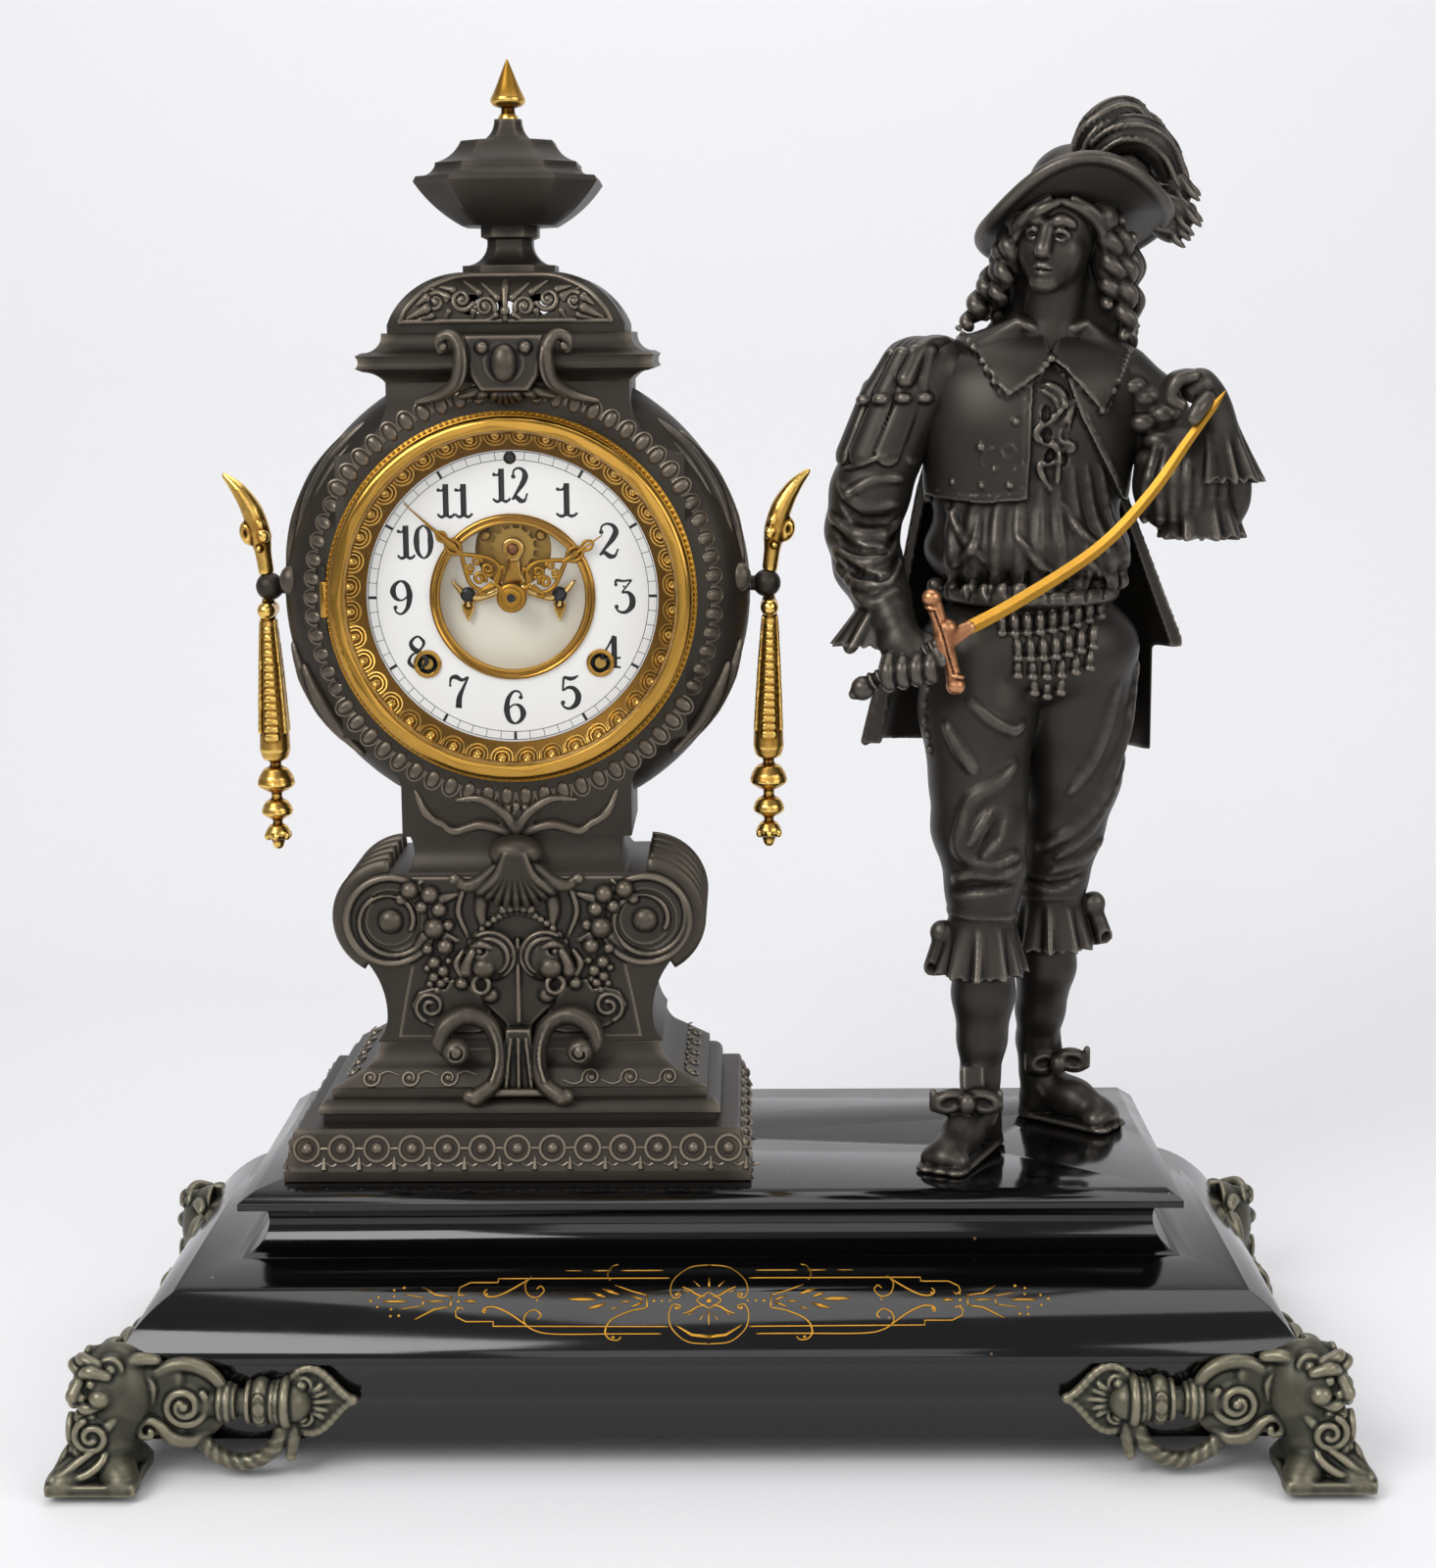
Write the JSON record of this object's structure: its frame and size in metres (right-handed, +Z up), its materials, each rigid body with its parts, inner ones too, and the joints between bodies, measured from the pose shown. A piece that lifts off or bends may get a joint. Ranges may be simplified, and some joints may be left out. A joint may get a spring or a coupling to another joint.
{
  "type": "figural mantel clock",
  "caption": "Mantel clock with a round glazed dial in a cast case beside a standing figure that bends a sword, on a moulded base with scrolled corner feet.",
  "frame": {"origin": "middle of the floor area that the four feet reach, on the floor", "axes": "+Z up, the dial faces -Y, +X to the right seen from the front"},
  "size_m": [0.4936, 0.2282, 0.5323],
  "materials": {
    "black_enamelled_iron": "gloss",
    "steel": "satin",
    "worn_bronze_spelter": "satin",
    "patinated_spelter": "satin",
    "gilt_brass": "polished",
    "copper_gilt": "polished",
    "movement_brass": "satin",
    "white_porcelain": "gloss",
    "clear_glass": "gloss"
  },
  "bodies": {
    "frame": {"base_skirt": "black_enamelled_iron", "base_cushion": "black_enamelled_iron", "base_cove": "black_enamelled_iron", "base_top": "black_enamelled_iron", "base_fasteners": "steel", "urn_rod": "steel", "bezel_pin": "steel", "movement_fasteners": "steel", "foot_front_left": "worn_bronze_spelter", "foot_front_right": "worn_bronze_spelter", "foot_rear_left": "worn_bronze_spelter", "foot_rear_right": "worn_bronze_spelter", "case_plinth": "patinated_spelter", "case_pedestal": "patinated_spelter", "case_drum": "patinated_spelter", "case_cornice": "patinated_spelter", "case_dome": "patinated_spelter", "case_urn": "patinated_spelter", "handle_bosses": "patinated_spelter", "figure_legs": "patinated_spelter", "figure_torso": "patinated_spelter", "figure_coat": "patinated_spelter", "figure_head": "patinated_spelter", "figure_hat": "patinated_spelter", "figure_plume": "patinated_spelter", "figure_right_arm": "patinated_spelter", "figure_left_arm": "patinated_spelter", "urn_finial": "gilt_brass", "handle_left": "gilt_brass", "handle_right": "gilt_brass", "center_ring": "gilt_brass", "winding_grommets": "gilt_brass", "escapement_bridge": "gilt_brass", "sword_blade": "gilt_brass", "sword_grip": "gilt_brass", "sword_guard": "copper_gilt", "front_plate": "movement_brass", "back_plate": "movement_brass", "strike_bell": "movement_brass", "dial": "white_porcelain", "center_plate": "white_porcelain"},
    "bezel": {"bezel": "gilt_brass", "bezel_glass": "clear_glass", "sash_ring": "gilt_brass"},
    "back_door": {"back_door": "movement_brass"},
    "center": {"center_arbor": "movement_brass", "minute_hand": "gilt_brass", "hand_nut": "gilt_brass"},
    "hour": {"hour_wheel": "movement_brass", "hour_hand": "gilt_brass"},
    "minute_wheel": {"minute_wheel": "movement_brass"},
    "second_wheel": {"second_wheel": "movement_brass"},
    "time_barrel": {"time_barrel": "movement_brass"},
    "third_wheel": {"third_wheel": "movement_brass"},
    "escape_wheel": {"escape_wheel": "movement_brass"},
    "strike_barrel": {"strike_barrel": "movement_brass"},
    "pendulum": {"pendulum": "movement_brass"},
    "pallet_anchor": {"pallet_anchor": "steel"},
    "strike_hammer": {"strike_hammer": "steel"},
    "regulator": {"regulator_arbor": "steel"}
  },
  "joints": [
    {"name": "bezel_hinge", "type": "hinge", "parent": "frame", "child": "bezel", "pos_m": [-0.1484, -0.0083, 0.3261], "axis": [0, 0, -1], "range_deg": [0, 110]},
    {"name": "back_door_hinge", "type": "hinge", "parent": "frame", "child": "back_door", "pos_m": [-0.0095, 0.0523, 0.3261], "axis": [0, 0, -1], "range_deg": [0, 100]},
    {"name": "minute_turn", "type": "hinge", "parent": "frame", "child": "center", "pos_m": [-0.0757, 0.015, 0.3261], "axis": [0, 1, 0], "continuous": true},
    {"name": "hour_turn", "type": "hinge", "parent": "frame", "child": "hour", "pos_m": [-0.0757, 0.015, 0.3261], "axis": [0, 1, 0], "continuous": true},
    {"name": "minute_wheel_turn", "type": "hinge", "parent": "frame", "child": "minute_wheel", "pos_m": [-0.0757, 0.015, 0.3101], "axis": [0, 1, 0], "continuous": true},
    {"name": "second_wheel_turn", "type": "hinge", "parent": "frame", "child": "second_wheel", "pos_m": [-0.055, 0.015, 0.33227], "axis": [0, 1, 0], "continuous": true},
    {"name": "time_barrel_turn", "type": "hinge", "parent": "frame", "child": "time_barrel", "pos_m": [-0.0417, 0.015, 0.2999], "axis": [0, 1, 0], "continuous": true},
    {"name": "third_wheel_turn", "type": "hinge", "parent": "frame", "child": "third_wheel", "pos_m": [-0.08977, 0.015, 0.33668], "axis": [0, 1, 0], "continuous": true},
    {"name": "escape_wheel_turn", "type": "hinge", "parent": "frame", "child": "escape_wheel", "pos_m": [-0.0757, 0.015, 0.3443], "axis": [0, 1, 0], "continuous": true},
    {"name": "strike_barrel_turn", "type": "hinge", "parent": "frame", "child": "strike_barrel", "pos_m": [-0.1097, 0.015, 0.2999], "axis": [0, 1, 0], "continuous": true},
    {"name": "regulator_turn", "type": "hinge", "parent": "frame", "child": "regulator", "pos_m": [-0.0757, 0.015, 0.3801], "axis": [0, 1, 0], "continuous": true},
    {"name": "pendulum_swing", "type": "hinge", "parent": "frame", "child": "pendulum", "pos_m": [-0.0757, 0.0428, 0.3591], "axis": [0, 1, 0], "range_deg": [-4, 4]},
    {"name": "pallet_rock", "type": "hinge", "parent": "frame", "child": "pallet_anchor", "pos_m": [-0.0757, 0.015, 0.3591], "axis": [0, 1, 0], "range_deg": [-4, 4]},
    {"name": "hammer_lift", "type": "hinge", "parent": "frame", "child": "strike_hammer", "pos_m": [-0.0837, 0.024, 0.2691], "axis": [0, 1, 0], "range_deg": [0, 10], "stiffness_Nm_per_rad": 0.02, "springref_deg": -20.05}
  ],
  "couplings": [
    {"joint": "hour_turn", "follows": "minute_turn", "ratio": 0.083333},
    {"joint": "minute_wheel_turn", "follows": "minute_turn", "ratio": -0.33333},
    {"joint": "second_wheel_turn", "follows": "minute_turn", "ratio": -0.5},
    {"joint": "time_barrel_turn", "follows": "minute_turn", "ratio": 0.083333},
    {"joint": "third_wheel_turn", "follows": "minute_turn", "ratio": -7},
    {"joint": "escape_wheel_turn", "follows": "minute_turn", "ratio": 49},
    {"joint": "pallet_rock", "follows": "pendulum_swing", "ratio": 1}
  ]
}
